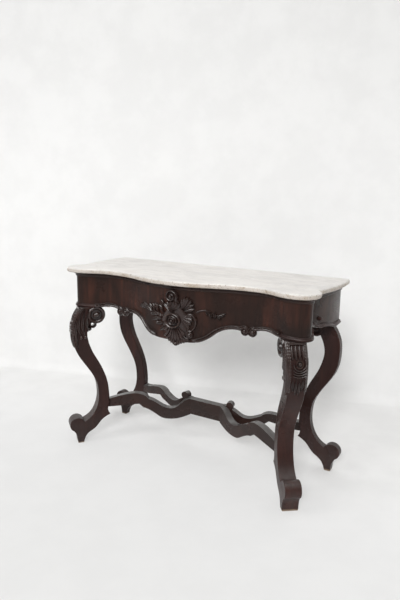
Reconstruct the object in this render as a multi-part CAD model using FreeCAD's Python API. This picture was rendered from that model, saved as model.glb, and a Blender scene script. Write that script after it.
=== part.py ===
import FreeCAD
import Part
import math
import os

from FreeCAD import Vector

# A pier table: a loose serpentine marble slab on a carved frame, four S-scroll legs and a double-Y stretcher.
# Millimetres, +Z up, +X to the right, -Y to the front. The origin is on the floor, midway between the feet.

# Overall sizes: the back feet set the width, the front feet and the marble's back edge set the depth
table_height = 860.0
overall_width = 1258.0
overall_depth = 506.0

# Marble slab: the feet stand out past its ends and in front of its bow, and it lies shifted to the left
foot_stand_out = 9.0
foot_lead = 18.0
marble_thickness = 22.0
marble_edge_round = 9.0
slab_shift = 9.0
hollow_share = 0.584
hollow_rise = 72.0
lobe_set_back = 24.0
lobe_radius = 75.0
cusp_depth = 28.0
cusp_round = 7.0
swell_place = 100.0
back_narrowing = 8.0
back_corner_round = 10.0

# Apron frame under the marble
marble_overhang = 38.0
back_overhang = 40.0
apron_height = 164.0
apron_thickness = 22.0
back_rail_thickness = 22.0

# Lower edge of the front apron: places as shares of the marble's half width, drops from the corners' foot
centre_drop = 74.0
centre_flat = 78.0
inner_arch_share = 0.4194
inner_arch_drop = 3.0
outer_arch_share = 0.6403
outer_arch_rise = 8.0
volute_point_share = 0.5097
volute_point_drop = 16.0
corner_flat_share = 0.7548

# Lower edge of the end aprons: places as shares of the run from the lobe's side to the frame's back
end_arch_share = 0.1375
end_arch_rise = 46.0
end_dip_share = 0.4011
end_dip_rise = 22.0
end_flat_share = 0.8596

# Mouldings, beads and small volutes on the apron
top_moulding_height = 19.0
top_moulding_out = 12.0
bead_height = 16.0
bead_out = 9.0
inner_scroll_start = 98.0
inner_volute_share = 0.4823
outer_volute_share = 0.5371
volute_drop = 6.0
volute_radius = 12.5
volute_out = 13.0
scroll_neck = 9.0

# Carving at the middle of the front, outlines as shares of each carving's width and height
cartouche_width = 200.0
cartouche_height = 190.0
cartouche_tip_drop = 26.0
cartouche_out = 18.0
cartouche_shares = [
    (0.00, 0.00), (0.14, 0.06), (0.34, 0.12), (0.47, 0.26), (0.50, 0.50), (0.46, 0.74), (0.34, 0.94),
    (0.16, 1.00), (-0.10, 1.00), (-0.26, 0.90), (-0.34, 0.66), (-0.36, 0.38), (-0.26, 0.20), (-0.14, 0.08),
]
rosette_radius = 36.0
rosette_rise_share = 0.54
rosette_out = 9.0
crest_radius = 23.0
crest_rise_share = 1.15
crest_out = 20.0
leaf_out = 10.0
spray_width = 212.0
spray_height = 138.0
spray_rise = 28.0
spray_shares = [
    (-0.04, 0.06), (-0.25, 0.04), (-0.47, 0.34), (-0.76, 0.58), (-1.02, 0.76), (-0.86, 0.90), (-0.58, 1.00),
    (-0.24, 1.04), (-0.02, 0.90),
]
sprig_start = 94.0
sprig_width = 120.0
sprig_height = 30.0
sprig_rise = 134.0
sprig_shares = [
    (0.00, 0.45), (0.30, 0.20), (0.62, 0.00), (1.00, 0.10), (1.02, 0.40), (0.72, 0.72), (0.45, 1.00),
    (0.22, 0.85), (0.00, 0.75),
]

# Legs: outline as shares of the reach, outwards from the foot's middle, and of the leg's height
leg_reach = 200.0
front_foot_out = 7.0
front_leg_thickness = 67.0
back_leg_thickness = 36.0
front_leg_angle = 52.0
leg_outer_shares = [
    (-0.100, 1.000), (0.010, 0.950), (0.094, 0.890), (0.115, 0.816), (0.096, 0.742), (0.015, 0.668),
    (-0.140, 0.593), (-0.302, 0.519), (-0.418, 0.445), (-0.455, 0.378), (-0.455, 0.326), (-0.418, 0.270),
    (-0.313, 0.208),
]
foot_outer_shares = [(0.120, 0.076), (0.085, 0.045), (0.065, 0.000)]
foot_inner_shares = [
    (-0.070, 0.000), (-0.095, 0.025), (-0.145, 0.055), (-0.230, 0.078), (-0.345, 0.099), (-0.440, 0.129),
    (-0.530, 0.159), (-0.620, 0.178), (-0.730, 0.193),
]
spur_middle_share = (-0.683, 0.221)
leg_inner_shares = [
    (-0.685, 0.249), (-0.716, 0.310), (-0.710, 0.371), (-0.678, 0.445), (-0.603, 0.519), (-0.490, 0.593),
    (-0.353, 0.668), (-0.258, 0.742), (-0.223, 0.816), (-0.262, 0.868),
]
foot_scroll_share = (0.070, 0.138)
foot_scroll_radius = 36.0
foot_scroll_from = 155.0
foot_scroll_to = -42.0
knee_volute_share = -0.440
knee_volute_radius = 40.0
back_volute_radius = 33.0
knee_volute_from = -50.0
knee_leaf_out = 6.0
knee_leaf_margin = 6.0
knee_leaf_inner_share = -0.12

# Stretcher: the bar's foot as a share of the leg's height, its place as a share of half the depth;
# arms as shares of their length and of the wave's height above the foot of the bar
bar_length = 166.0
bar_height = 76.0
bar_thickness = 36.0
bar_foot_share = 0.2255
bar_place_share = 0.3755
arm_thickness = 34.0
arm_wave = 100.0
arm_bury = 24.0
arm_joint_share = -0.69
front_arm_shares = {
    "top near": [(0.00, 0.50), (0.14, 0.70), (0.28, 0.86), (0.38, 0.89), (0.47, 0.77)],
    "top far": [
        (0.50, 0.64), (0.60, 0.46), (0.67, 0.30), (0.75, 0.22), (0.82, 0.29), (0.88, 0.50), (0.94, 0.70),
    ],
    "under near": [(0.00, 0.12), (0.14, 0.20), (0.27, 0.29), (0.39, 0.36)],
    "under far": [
        (0.44, 0.19), (0.51, 0.09), (0.59, -0.11), (0.66, -0.28), (0.74, -0.32), (0.83, -0.28), (0.91, -0.17),
    ],
}
back_arm_shares = {
    "top near": [(0.00, 0.45), (0.17, 0.54), (0.31, 0.66), (0.41, 0.67), (0.47, 0.58)],
    "top far": [(0.50, 0.49), (0.57, 0.39), (0.64, 0.32), (0.71, 0.34), (0.78, 0.48), (0.86, 0.66)],
    "under near": [(0.00, 0.06), (0.16, 0.12), (0.28, 0.22), (0.39, 0.31)],
    "under far": [(0.44, 0.17), (0.53, 0.06), (0.61, -0.04), (0.70, -0.10), (0.80, -0.10), (0.90, -0.04)],
}
arm_roll_share = (0.89, 0.80)
arm_roll_radius = 18.0

# Blocks, bearers, dowels and screws inside the frame
block_length = 150.0
block_width = 104.0
block_height = 88.0
back_block_depth = 52.0
back_block_width = 96.0
bearer_width = 70.0
bearer_thickness = 20.0
bearer_share = 0.3226
glue_block_size = 26.0
glue_block_length = 80.0
glue_block_share = 0.5645
dowel_radius = 6.0
dowel_depth = 34.0
leg_dowel_shares = (-0.240, -0.380)
arm_dowel_rise_share = 0.29
bar_dowel_inset = 10.0
bar_dowel_radius = 5.0
screw_radius = 3.0
screw_head_radius = 6.0
screw_head_height = 5.0
screw_bite = 12.0
screw_rise_share = 0.70

# Places that follow from the sizes
back_edge = overall_depth / 2
back_face = back_edge - back_overhang
marble_half = overall_width / 2 - foot_stand_out
marble_foot = table_height - marble_thickness
leg_height = marble_foot - apron_height
bow_front = foot_lead - overall_depth / 2
lobe_x = marble_half - lobe_radius
lobe_front = bow_front + lobe_set_back
lobe_y = lobe_front + lobe_radius
end_run = back_face - lobe_y
hollow_place = hollow_share * marble_half
inner_arch_place = inner_arch_share * marble_half
outer_arch_place = outer_arch_share * marble_half
volute_point_place = volute_point_share * marble_half
corner_flat_place = corner_flat_share * marble_half
inner_volute_place = inner_volute_share * marble_half
outer_volute_place = outer_volute_share * marble_half
bearer_place = bearer_share * marble_half
glue_block_place = glue_block_share * marble_half
rail_front = back_face - back_rail_thickness
rail_middle = back_face - back_rail_thickness / 2
bar_half = bar_length / 2
bar_y = bar_place_share * back_edge
bar_foot = bar_foot_share * leg_height
bar_top = bar_foot + bar_height
foot_reach = foot_scroll_share[0] * leg_reach + foot_scroll_radius
front_turn = math.radians(front_leg_angle)
front_foot = Vector(
    lobe_x + front_foot_out,
    -overall_depth / 2 + foot_reach * math.sin(front_turn) + front_leg_thickness / 2 * math.cos(front_turn),
    0,
)
back_foot = Vector(overall_width / 2 - foot_reach, back_face - back_leg_thickness / 2, 0)
floor_tip = leg_height - centre_drop - cartouche_tip_drop


# Small helpers
def plan(point):
    return Vector(point[0], point[1], 0)


def front(point):
    return Vector(point[0], 0, point[1])


def side(point):
    return Vector(0, point[0], point[1])


def line(start, finish):
    return Part.LineSegment(start, finish).toShape()


def arc(start, middle, finish):
    return Part.Arc(start, middle, finish).toShape()


def curve(points):
    spline = Part.BSplineCurve()
    spline.interpolate(points)
    return spline.toShape()


def chain(points, closed=False):
    ends = points[1:] + points[:1] if closed else points[1:]
    return [line(start, finish) for start, finish in zip(points, ends)]


def filled(edges):
    return Part.Face(Part.Wire(Part.__sortEdges__(edges)))


def block(low, high):
    return Part.makeBox(high.x - low.x, high.y - low.y, high.z - low.z, low)


def mirrored(shape):
    return shape.mirror(Vector(0, 0, 0), Vector(1, 0, 0))


def level_arc(start, finish, place):
    # An arc that leaves its start level and ends at the finish.
    run = finish[0] - start[0]
    rise = finish[1] - start[1]
    half = math.hypot(run, rise) / 2
    lift = half * math.tan(math.atan2(abs(rise), abs(run)) / 2)
    middle = (start[0] + math.copysign(half, run), start[1] + math.copysign(lift, rise))
    return arc(place(start), place(middle), place(finish))


def level_sweep(start, finish, place):
    # Two equal arcs, level at both ends, that meet half way.
    middle = ((start[0] + finish[0]) / 2, (start[1] + finish[1]) / 2)
    return [level_arc(start, middle, place), level_arc(finish, middle, place)]


def scaled(shares, width, height, low=0):
    return [(share[0] * width, low + share[1] * height) for share in shares]


# Plan of the table, from which the marble and every curved board is offset
def plan_face(extra_back):
    bow = (0, bow_front)
    hollow = (hollow_place, bow_front + hollow_rise)
    lobe = (lobe_x, lobe_front)
    lobe_side = (marble_half, lobe_y)
    cusp_run = lobe_radius - cusp_depth
    cusp = (lobe_x + cusp_run, lobe_y + math.sqrt(lobe_radius ** 2 - cusp_run ** 2))
    swell = (marble_half, back_edge - swell_place)
    corner = (marble_half - back_narrowing, back_edge)
    half = level_sweep(bow, hollow, plan) + level_sweep(hollow, lobe, plan)
    half.append(arc(plan(lobe), plan(lobe_side), plan(cusp)))
    half.append(arc(plan(cusp), plan(swell), plan(corner)))
    last = plan(corner)
    if extra_back:
        last = plan((corner[0], corner[1] + extra_back))
        half.append(line(plan(corner), last))
    edges = half + [mirrored(edge) for edge in half]
    edges.append(line(last, Vector(-last.x, last.y, 0)))
    return filled(edges)


frame_plan = plan_face(2 * (marble_overhang + apron_thickness))
inside_front = Vector(-overall_width, -overall_depth, 0)


def prism(inset, low, high):
    # The plan, drawn in by an inset, between two heights and cut off at the frame's back.
    face = frame_plan.makeOffset2D(-inset)
    face.translate(Vector(0, 0, low))
    solid = face.extrude(Vector(0, 0, high - low))
    return solid.common(block(inside_front, Vector(overall_width, back_face, table_height)))


def skin(inner_out, outer_out, low, high):
    # A curved board whose faces stand out from the apron's face by the two distances.
    return prism(marble_overhang - outer_out, low, high).cut(prism(marble_overhang - inner_out, low, high))


def between(x_low, x_high):
    return block(Vector(x_low, -overall_depth, 0), Vector(x_high, back_face, table_height))


def end_region():
    low = Vector(lobe_x - apron_thickness, lobe_y, 0)
    return block(low, Vector(overall_width, back_face, table_height))


def without_ends(ring):
    return ring.cut(end_region()).cut(mirrored(end_region()))


# Lower edges of the apron, as the space that is sawn away below them
def space_below_front():
    middle_z = leg_height - centre_drop
    flat_end = (centre_flat, middle_z)
    inner_arch = (inner_arch_place, leg_height - inner_arch_drop)
    point = (volute_point_place, leg_height - volute_point_drop)
    outer_arch = (outer_arch_place, leg_height + outer_arch_rise)
    corner = (corner_flat_place, leg_height)
    half = [line(front((0, middle_z)), front(flat_end))]
    half += level_sweep(flat_end, inner_arch, front)
    half += [level_arc(inner_arch, point, front), level_arc(outer_arch, point, front)]
    half += level_sweep(outer_arch, corner, front)
    half += chain([front(corner), front((overall_width, leg_height)), front((overall_width, 0))])
    edges = half + [mirrored(edge) for edge in half]
    edges.append(line(front((overall_width, 0)), front((-overall_width, 0))))
    return filled(edges)


def space_below_end():
    points = [
        (lobe_y, leg_height),
        (lobe_y + end_arch_share * end_run, leg_height + end_arch_rise),
        (lobe_y + end_dip_share * end_run, leg_height + end_dip_rise),
        (lobe_y + end_flat_share * end_run, leg_height),
    ]
    edges = [line(side((-overall_depth, leg_height)), side(points[0]))]
    for start, finish in zip(points, points[1:]):
        edges += level_sweep(start, finish, side)
    corners = [points[-1], (overall_depth, leg_height), (overall_depth, 0), (-overall_depth, 0)]
    corners.append((-overall_depth, leg_height))
    return filled(edges + chain([side(corner) for corner in corners]))


below_front = space_below_front()
below_end = space_below_end()


def through_front(face):
    return face.extrude(Vector(0, -overall_depth, 0))


def through_end(face):
    return face.extrude(Vector(overall_width, 0, 0))


# Marble
def make_marble():
    slab = plan_face(0).extrude(Vector(0, 0, marble_thickness))
    slab.translate(Vector(0, 0, marble_foot))
    uprights = [edge for edge in slab.Edges if abs(edge.BoundBox.ZLength - marble_thickness) < cusp_round / 2]
    inner = [edge for edge in uprights if lobe_y < edge.CenterOfMass.y < back_edge - swell_place]
    outer = [edge for edge in uprights if edge.CenterOfMass.y > back_edge - swell_place]
    places = [edge.CenterOfMass for edge in outer]
    slab = slab.makeFillet(cusp_round, inner)
    outer = [
        edge for edge in slab.Edges
        if any(edge.CenterOfMass.isEqual(place, cusp_round) for place in places)
    ]
    slab = slab.makeFillet(back_corner_round, outer)
    rims = [
        edge for edge in slab.Edges
        if edge.BoundBox.ZLength < cusp_round / 2 and edge.BoundBox.YMin < back_edge - back_corner_round / 2
    ]
    slab = slab.makeFillet(marble_edge_round, rims)
    slab.translate(Vector(-slab_shift, 0, 0))
    return slab


# Apron boards, rail and mouldings
def make_front_apron():
    return without_ends(skin(-apron_thickness, 0, 0, marble_foot)).cut(through_front(below_front))


def make_end_apron():
    board = skin(-apron_thickness, 0, 0, marble_foot).common(end_region())
    return board.cut(through_end(below_end))


def make_back_rail():
    inside = prism(marble_overhang + apron_thickness, leg_height, marble_foot)
    return inside.cut(block(inside_front, Vector(overall_width, rail_front, table_height)))


def make_top_moulding():
    foot = marble_foot - top_moulding_height
    step = marble_foot - top_moulding_height / 2
    lower = skin(0, top_moulding_out / 2, foot, step)
    upper = skin(0, top_moulding_out, step, marble_foot)
    return lower.fuse(upper).removeSplitter()


def make_corner_bead():
    ring = skin(0, bead_out, leg_height, leg_height + bead_height)
    return without_ends(ring).common(between(corner_flat_place, overall_width))


def make_end_bead():
    band = below_end.makeOffset2D(bead_height).cut(below_end)
    ring = skin(0, bead_out, leg_height, marble_foot)
    return through_end(band).common(ring).common(end_region())


def volute(place, radius):
    centre = Vector(place, 0, leg_height - volute_drop)
    disc = Part.makeCylinder(radius, overall_depth, centre, Vector(0, -1, 0))
    return disc.common(skin(0, volute_out, leg_height - centre_drop, marble_foot))


def make_scroll(start, finish, volute_place):
    band = below_front.makeOffset2D(bead_height).cut(below_front)
    ring = skin(0, bead_out, leg_height - centre_drop, marble_foot)
    strip = through_front(band).common(ring).common(between(start, finish))
    return strip.fuse(volute(volute_place, volute_radius)).removeSplitter()


# Carving
def relief(points, inner_out, outer_out):
    places = [front(point) for point in points]
    spline = Part.BSplineCurve()
    spline.interpolate(places, PeriodicFlag=True)
    face = Part.Face(Part.Wire(spline.toShape()))
    return through_front(face).common(skin(inner_out, outer_out, floor_tip, marble_foot))


def disc_relief(rise, radius, inner_out, outer_out):
    disc = Part.makeCylinder(radius, overall_depth, Vector(0, 0, floor_tip + rise), Vector(0, -1, 0))
    return disc.common(skin(inner_out, outer_out, floor_tip, marble_foot))


def make_carving(scrolls):
    cartouche_points = scaled(cartouche_shares, cartouche_width, cartouche_height, floor_tip)
    cartouche = relief(cartouche_points, 0, cartouche_out)
    crest = disc_relief(crest_rise_share * cartouche_height, crest_radius, 0, crest_out).cut(cartouche)
    rosette = disc_relief(
        rosette_rise_share * cartouche_height, rosette_radius, cartouche_out, cartouche_out + rosette_out
    )
    spray = relief(scaled(spray_shares, spray_width, spray_height, floor_tip + spray_rise), 0, leaf_out)
    sprig_points = scaled(sprig_shares, sprig_width, sprig_height, floor_tip + sprig_rise)
    sprig = relief([(point[0] + sprig_start, point[1]) for point in sprig_points], 0, leaf_out)
    for neighbour in scrolls + [cartouche, crest]:
        spray = spray.cut(neighbour)
        sprig = sprig.cut(neighbour)
    cartouche = cartouche.cut(scrolls[0]).cut(scrolls[1])
    return cartouche, crest, rosette, spray, sprig


# Legs
def leg_face(volute_radius):
    outer = scaled(leg_outer_shares, leg_reach, leg_height)
    inner = scaled(leg_inner_shares, leg_reach, leg_height)
    under = scaled(foot_inner_shares, leg_reach, leg_height)
    heel = scaled(foot_outer_shares, leg_reach, leg_height)
    spur = (spur_middle_share[0] * leg_reach, spur_middle_share[1] * leg_height)
    scroll = (foot_scroll_share[0] * leg_reach, foot_scroll_share[1] * leg_height)
    knee = (knee_volute_share * leg_reach, leg_height - volute_radius)

    def on_circle(centre, radius, degrees):
        turn = math.radians(degrees)
        return front((centre[0] + radius * math.cos(turn), centre[1] + radius * math.sin(turn)))

    crease = on_circle(scroll, foot_scroll_radius, foot_scroll_from)
    scroll_top = on_circle(scroll, foot_scroll_radius, (foot_scroll_from + foot_scroll_to) / 2)
    scroll_end = on_circle(scroll, foot_scroll_radius, foot_scroll_to)
    knee_start = on_circle(knee, volute_radius, knee_volute_from)
    knee_side = on_circle(knee, volute_radius, 180)
    knee_top = on_circle(knee, volute_radius, 90)
    edges = [
        curve([front(point) for point in outer] + [crease]),
        arc(crease, scroll_top, scroll_end),
        curve([scroll_end] + [front(point) for point in heel]),
        line(front(heel[-1]), front(under[0])),
        curve([front(point) for point in under]),
        arc(front(under[-1]), front(spur), front(inner[0])),
        curve([front(point) for point in inner] + [knee_start]),
        arc(knee_start, knee_side, knee_top),
        line(knee_top, front(outer[0])),
    ]
    return filled(edges)


def thickened(face, thickness):
    solid = face.extrude(Vector(0, thickness, 0))
    solid.translate(Vector(0, -thickness / 2, 0))
    return solid


def knee_leaf_blank():
    # The leaf lies on the swell of the knee, from just under the apron to where the leg turns in.
    knee = scaled(leg_outer_shares[1:6], leg_reach, leg_height)
    swell = [front((point[0] + knee_leaf_out, point[1])) for point in knee]
    back_x = knee_leaf_inner_share * leg_reach
    back_line = chain([swell[-1], front((back_x, knee[-1][1])), front((back_x, knee[0][1])), swell[0]])
    leaf = thickened(filled([curve(swell)] + back_line), front_leg_thickness - 2 * knee_leaf_margin)
    return leaf.cut(thickened(leg_face(knee_volute_radius), front_leg_thickness))


def placed(shape, foot, degrees):
    moved = shape.copy()
    moved.rotate(Vector(0, 0, 0), Vector(0, 0, 1), degrees)
    moved.translate(foot)
    return moved


def leg_point(foot, degrees, reach):
    turn = math.radians(degrees)
    return foot + Vector(reach * math.cos(turn), reach * math.sin(turn), 0)


# Stretcher
def arm_blank(length, shares, rolled):
    def spots(stretch):
        return [front(point) for point in scaled(shares[stretch], length, arm_wave, bar_foot)]

    top_near = spots("top near")
    top_far = spots("top far") + [front((length, bar_top))]
    under_near = spots("under near")
    under_far = spots("under far") + [front((length, bar_foot))]
    bury = Vector(-arm_bury, 0, 0)
    past = Vector(arm_thickness, 0, 0)
    edges = [curve(top_near), curve(top_far), curve(under_near), curve(under_far)]
    edges += [line(top_near[-1], top_far[0]), line(under_near[-1], under_far[0])]
    edges += chain([top_near[0], top_near[0] + bury, under_near[0] + bury, under_near[0]])
    edges += chain([top_far[-1], top_far[-1] + past, under_far[-1] + past, under_far[-1]])
    solid = thickened(filled(edges), arm_thickness)
    if rolled:
        centre = front((arm_roll_share[0] * length, bar_foot + arm_roll_share[1] * arm_wave))
        start = centre - Vector(0, arm_thickness / 2, 0)
        solid = solid.fuse(Part.makeCylinder(arm_roll_radius, arm_thickness, start, Vector(0, 1, 0)))
    return solid.removeSplitter()


def make_arm(foot, leg_degrees, leg, shares, rolled):
    start = leg_point(foot, leg_degrees, arm_joint_share * leg_reach)
    finish = Vector(bar_half, bar_y, 0)
    run = finish - start
    degrees = math.degrees(math.atan2(run.y, run.x))
    arm = placed(arm_blank(run.Length, shares, rolled), start, degrees)
    y_low = bar_y if rolled else -overall_depth
    y_high = back_face if rolled else bar_y
    kept = block(Vector(bar_half, y_low, 0), Vector(overall_width, y_high, table_height))
    along = Vector(math.cos(math.radians(degrees)), math.sin(math.radians(degrees)), 0)
    dowel_middle = start + Vector(0, 0, bar_foot + arm_dowel_rise_share * arm_wave)
    dowel = Part.makeCylinder(dowel_radius, 2 * dowel_depth, dowel_middle - along * dowel_depth, along)
    return arm.common(kept).cut(leg).cut(dowel), dowel


def make_bar():
    return block(
        Vector(-bar_half, bar_y - bar_thickness / 2, bar_foot),
        Vector(bar_half, bar_y + bar_thickness / 2, bar_top),
    )


def bar_dowel(y_step):
    start = Vector(bar_half - dowel_depth, bar_y + y_step, (bar_foot + bar_top) / 2)
    return Part.makeCylinder(bar_dowel_radius, 2 * dowel_depth, start, Vector(1, 0, 0))


# Frame insides
def inside_frame(low, high):
    inside = prism(marble_overhang + apron_thickness, low, high)
    return inside.common(block(inside_front, Vector(overall_width, rail_front, table_height)))


def make_front_block():
    blank = block(
        Vector(-block_length, -block_width / 2, leg_height),
        Vector(leg_reach, block_width / 2, leg_height + block_height),
    )
    blank = placed(blank, front_foot, -front_leg_angle)
    return blank.common(inside_frame(leg_height, leg_height + block_height))


def make_back_block():
    inside = inside_frame(leg_height, leg_height + block_height)
    low_x = marble_half - back_narrowing - marble_overhang - apron_thickness - back_block_width
    low = Vector(low_x, rail_front - back_block_depth, 0)
    return inside.common(block(low, Vector(overall_width, rail_front, table_height)))


def make_bearer():
    inside = inside_frame(marble_foot - bearer_thickness, marble_foot)
    low_x = bearer_place - bearer_width / 2
    return inside.common(
        block(Vector(low_x, -overall_depth, 0), Vector(low_x + bearer_width, overall_depth, table_height))
    )


def make_glue_blocks():
    corner = side((rail_front, marble_foot))
    wedge = filled(chain([
        corner,
        corner - Vector(0, glue_block_size, 0),
        corner - Vector(0, 0, glue_block_size),
    ], closed=True))
    blocks = []
    for place in (-glue_block_place, 0, glue_block_place):
        solid = wedge.extrude(Vector(glue_block_length, 0, 0))
        solid.translate(Vector(place - glue_block_length / 2, 0, 0))
        blocks.append(solid)
    return Part.makeCompound(blocks)


def leg_dowel(point):
    start = Vector(point.x, point.y, leg_height - dowel_depth)
    return Part.makeCylinder(dowel_radius, 2 * dowel_depth, start, Vector(0, 0, 1))


def make_screw(start, along, length):
    shank = Part.makeCylinder(screw_radius, length, start, along)
    head = Part.makeCone(screw_head_radius, screw_radius, screw_head_height, start, along)
    return shank.fuse(head).removeSplitter()


def ring_distance(start, along, apron):
    # How far a line from the start runs before it enters the apron board.
    probe = Part.makeLine(start, start + along * overall_width)
    return min(start.distanceToPoint(vertex.Point) for vertex in probe.common(apron).Vertexes)


# Put the pieces together; the right-hand ones are made first and mirrored
parts = {}
front_apron = make_front_apron()
end_apron = make_end_apron()
back_rail = make_back_rail()
front_leg = placed(thickened(leg_face(knee_volute_radius), front_leg_thickness), front_foot, -front_leg_angle)
back_leg = placed(thickened(leg_face(back_volute_radius), back_leg_thickness), back_foot, 0)
front_block = make_front_block()
back_block = make_back_block()
bar = make_bar()

front_arm, front_arm_dowel = make_arm(front_foot, -front_leg_angle, front_leg, front_arm_shares, False)
back_arm, back_arm_dowel = make_arm(back_foot, 0, back_leg, back_arm_shares, True)

front_bar_dowel = bar_dowel(-bar_dowel_inset)
back_bar_dowel = bar_dowel(bar_dowel_inset)
front_arm = front_arm.cut(front_bar_dowel)
back_arm = back_arm.cut(back_bar_dowel)
bar_dowels = [front_bar_dowel, back_bar_dowel]
bar_dowels += [mirrored(dowel) for dowel in bar_dowels]
for dowel in bar_dowels:
    bar = bar.cut(dowel)

front_dowels = []
back_dowels = []
for share in leg_dowel_shares:
    front_dowels.append(leg_dowel(leg_point(front_foot, -front_leg_angle, share * leg_reach)))
    back_dowels.append(leg_dowel(Vector(back_foot.x + share * leg_reach, rail_middle, 0)))
for dowel in front_dowels:
    front_leg = front_leg.cut(dowel)
    front_block = front_block.cut(dowel)
    front_apron = front_apron.cut(dowel).cut(mirrored(dowel))
for dowel in back_dowels:
    back_leg = back_leg.cut(dowel)
    back_rail = back_rail.cut(dowel).cut(mirrored(dowel))
front_leg = front_leg.cut(front_arm_dowel)
back_leg = back_leg.cut(back_arm_dowel)

screw_z = leg_height + screw_rise_share * block_height
front_along = Vector(math.cos(front_turn), -math.sin(front_turn), 0)
front_screw_start = leg_point(front_foot, -front_leg_angle, -block_length) + Vector(0, 0, screw_z)
front_screw_length = ring_distance(front_screw_start, front_along, front_apron) + screw_bite
front_screw = make_screw(front_screw_start, front_along, front_screw_length)
back_screw_start = Vector(back_block.BoundBox.XMin, rail_front - back_block_depth / 2, screw_z)
back_screw_length = ring_distance(back_screw_start, Vector(1, 0, 0), end_apron) + screw_bite
back_screw = make_screw(back_screw_start, Vector(1, 0, 0), back_screw_length)
front_block = front_block.cut(front_screw)
back_block = back_block.cut(back_screw)
front_apron = front_apron.cut(front_screw).cut(mirrored(front_screw))
end_apron = end_apron.cut(back_screw)

inner_scroll = make_scroll(inner_scroll_start, inner_volute_place - scroll_neck, inner_volute_place)
outer_scroll = make_scroll(outer_volute_place + scroll_neck, corner_flat_place, outer_volute_place)
cartouche, crest, rosette, spray, sprig = make_carving([inner_scroll, mirrored(inner_scroll)])

moulding = make_top_moulding()
parts["marble_top"] = make_marble()
parts["front_apron"] = front_apron
parts["back_rail"] = back_rail
parts["top_moulding_front"] = without_ends(moulding)
parts["cartouche"] = cartouche
parts["crest_volute"] = crest
parts["rosette"] = rosette
parts["left_leaf_spray"] = spray
parts["right_leaf_sprig"] = sprig
parts["centre_bar"] = bar
parts["glue_blocks"] = make_glue_blocks()
parts["bar_dowels"] = Part.makeCompound(bar_dowels)

pairs = {
    "end_apron": end_apron,
    "top_moulding": moulding.common(end_region()),
    "front_{}_corner_bead": make_corner_bead(),
    "inner_scroll": inner_scroll,
    "outer_scroll": outer_scroll,
    "end_bead": make_end_bead(),
    "front_{}_leg": front_leg,
    "back_{}_leg": back_leg,
    "front_{}_knee_leaf": placed(knee_leaf_blank(), front_foot, -front_leg_angle),
    "front_{}_arm": front_arm,
    "back_{}_arm": back_arm,
    "front_{}_corner_block": front_block,
    "back_{}_corner_block": back_block,
    "bearer": make_bearer(),
}
for name, shape in pairs.items():
    for hand, copy in (("right", shape), ("left", mirrored(shape))):
        node = name.format(hand) if "{}" in name else hand + "_" + name
        parts[node] = copy

groups = {
    "leg_dowels": front_dowels + back_dowels,
    "arm_dowels": [front_arm_dowel, back_arm_dowel],
    "block_screws": [front_screw, back_screw],
}
for name, solids in groups.items():
    parts[name] = Part.makeCompound(solids + [mirrored(solid) for solid in solids])

os.makedirs("parts", exist_ok=True)
for node, shape in parts.items():
    shape.exportStep("parts/" + node + ".step")
    print(node, len(shape.Solids), "solid(s),", round(shape.Volume / 1000), "cm3, valid", shape.isValid())
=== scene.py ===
import bpy
import bmesh
from math import acos, asin, atan2, copysign, cos, exp, inf, pi, radians, sin, sqrt
from mathutils import Matrix, Vector, noise


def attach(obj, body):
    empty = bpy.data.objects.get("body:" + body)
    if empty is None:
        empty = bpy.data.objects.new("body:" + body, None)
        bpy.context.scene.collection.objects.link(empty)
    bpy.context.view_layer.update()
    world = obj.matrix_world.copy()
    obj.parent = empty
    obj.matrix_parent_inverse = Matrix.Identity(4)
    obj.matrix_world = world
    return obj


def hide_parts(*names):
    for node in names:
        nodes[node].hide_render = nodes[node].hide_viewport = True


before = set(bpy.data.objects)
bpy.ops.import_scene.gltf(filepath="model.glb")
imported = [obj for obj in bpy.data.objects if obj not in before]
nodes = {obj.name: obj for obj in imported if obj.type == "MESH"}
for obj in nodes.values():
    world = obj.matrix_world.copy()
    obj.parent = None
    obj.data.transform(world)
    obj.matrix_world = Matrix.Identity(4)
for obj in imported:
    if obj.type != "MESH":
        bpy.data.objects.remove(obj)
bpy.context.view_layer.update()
scene = bpy.context.scene
scene.view_settings.view_transform = "Standard"
sides = ((1.0, "right"), (-1.0, "left"))
upward = Vector((0.0, 0.0, 1.0))
ops = bmesh.ops
print("frame loaded,", len(nodes), "nodes")


# lengths are written in millimetres and used in metres
def mm(value):
    if isinstance(value, dict):
        return {key: mm(part) for key, part in value.items()}
    if isinstance(value, (list, tuple)):
        return tuple(mm(part) for part in value)
    return value / 1000


# plan of the table and heights of its frame
plan = mm({
    "bow": -235, "hollowX": 362.08, "hollowRise": 72, "lobeX": 545, "lobeBack": 24, "lobeRadius": 75,
    "cuspDepth": 28, "halfWidth": 620, "swellBack": 100, "narrow": 8, "backEdge": 253, "backFace": 213,
    "overhang": 38, "legTop": 674, "marbleFoot": 838, "marbleTop": 860,
})
lobeFront = plan["bow"] + plan["lobeBack"]
lobeY = lobeFront + plan["lobeRadius"]


# shader helpers for the tree that was opened last: a value is a number, a colour or another node's output
bench = {}


def feed(node, values):
    for key, value in values.items():
        socket = node.inputs[key]
        if isinstance(value, bpy.types.NodeSocket):
            bench["tree"].links.new(value, socket)
        else:
            socket.default_value = (*value, 1.0) if socket.type == "RGBA" else value
    return node.outputs


def addNode(kind, values=None, **settings):
    node = bench["tree"].nodes.new("ShaderNode" + kind)
    for key, value in settings.items():
        setattr(node, key, value)
    return feed(node, values or {})


def maths(operation, first, second, clamp=False):
    return addNode("Math", {0: first, 1: second}, operation=operation, use_clamp=clamp)[0]


def plus(first, second, clamp=False):
    return maths("ADD", first, second, clamp)


def times(first, second):
    return maths("MULTIPLY", first, second)


def mixed(share, first, second, blend="MIX"):
    return addNode("Mix", {0: share, 6: first, 7: second}, data_type="RGBA", blend_type=blend)[2]


def spread(value, low, high, toLow=0.0, toHigh=1.0):
    values = {0: value, 1: low, 2: high, 3: toLow, 4: toHigh}
    return addNode("MapRange", values, interpolation_type="SMOOTHSTEP")[0]


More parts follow.
